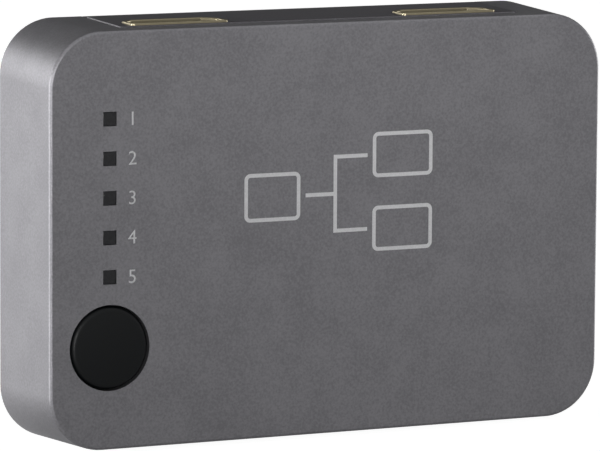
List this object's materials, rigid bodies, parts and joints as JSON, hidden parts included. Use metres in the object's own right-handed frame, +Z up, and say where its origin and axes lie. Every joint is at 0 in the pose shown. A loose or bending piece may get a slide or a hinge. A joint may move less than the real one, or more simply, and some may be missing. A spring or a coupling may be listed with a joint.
{
  "type": "video splitter",
  "caption": "Compact aluminium video splitter with a side port panel for two outputs, indicator windows and a round push button on its face.",
  "frame": {"origin": "middle of the surface that the part stands on, under the middle of its overall box", "axes": "+X across the labelled face to the right, +Y from the labelled face to the rear, +Z up to the side with the two outputs"},
  "size_m": [0.086, 0.0176, 0.059],
  "materials": {
    "anodised_aluminium": "bead blasted, grey anodised",
    "black_moulding": "fine moulded texture",
    "button_plastic": "satin moulded",
    "smoked_plastic": "smoked clear moulding",
    "gold_plated_steel": "bright gold plating",
    "contact_gold": "gold plated contacts",
    "socket_insulator": "glass-filled nylon",
    "circuit_board": "green solder mask",
    "chip_epoxy": "moulded epoxy",
    "tinned_metal": "tin plated",
    "screw_steel": "black zinc",
    "rubber": "matt black rubber",
    "film": "black insulating film",
    "heat_sink_black": "black anodised",
    "white_moulding": "white moulded plastic",
    "thermal_pad": "soft thermal tape",
    "ceramic_tan": "fired ceramic",
    "capacitor_can": "bright can"
  },
  "bodies": {
    "case": {"front_shell": "anodised_aluminium", "rear_cover": "anodised_aluminium", "rubber_feet": "rubber", "cover_screws": "screw_steel", "board_screws": "screw_steel", "insulating_film": "film", "top_port_panel": "black_moulding", "bottom_port_panel": "black_moulding", "power_jack_housing": "black_moulding", "power_jack_pin": "tinned_metal", "power_jack_spring": "tinned_metal", "light_guide": "smoked_plastic", "light_guide_holder": "black_moulding", "indicator_leds": "white_moulding", "switch_base": "black_moulding", "switch_cover_plate": "tinned_metal", "switch_dome": "tinned_metal", "switch_terminals": "tinned_metal", "main_board": "circuit_board", "splitter_chip": "chip_epoxy", "splitter_chip_leads": "tinned_metal", "memory_chip": "chip_epoxy", "memory_chip_leads": "tinned_metal", "voltage_regulator": "chip_epoxy", "voltage_regulator_leads": "tinned_metal", "thermal_tape": "thermal_pad", "heat_sink": "heat_sink_black", "power_inductor": "chip_epoxy", "electrolytic_capacitors": "capacitor_can", "timing_crystal": "tinned_metal", "ceramic_capacitors": "ceramic_tan", "chip_resistors": "chip_epoxy", "signal_protection_arrays": "chip_epoxy", "output_1_socket_shell": "gold_plated_steel", "output_1_socket_contacts": "contact_gold", "output_1_socket_insulator": "socket_insulator", "output_2_socket_shell": "gold_plated_steel", "output_2_socket_contacts": "contact_gold", "output_2_socket_insulator": "socket_insulator", "input_socket_shell": "gold_plated_steel", "input_socket_contacts": "contact_gold", "input_socket_insulator": "socket_insulator"},
    "button": {"button_cap": "button_plastic", "switch_plunger": "white_moulding"}
  },
  "joints": [
    {"name": "button_press", "type": "slide", "parent": "case", "child": "button", "axis": [0, 1, 0], "range_m": [0, 0.0003], "stiffness_N_per_m": 800, "springref_m": -0.0005, "deforming": ["switch_dome"]}
  ]
}
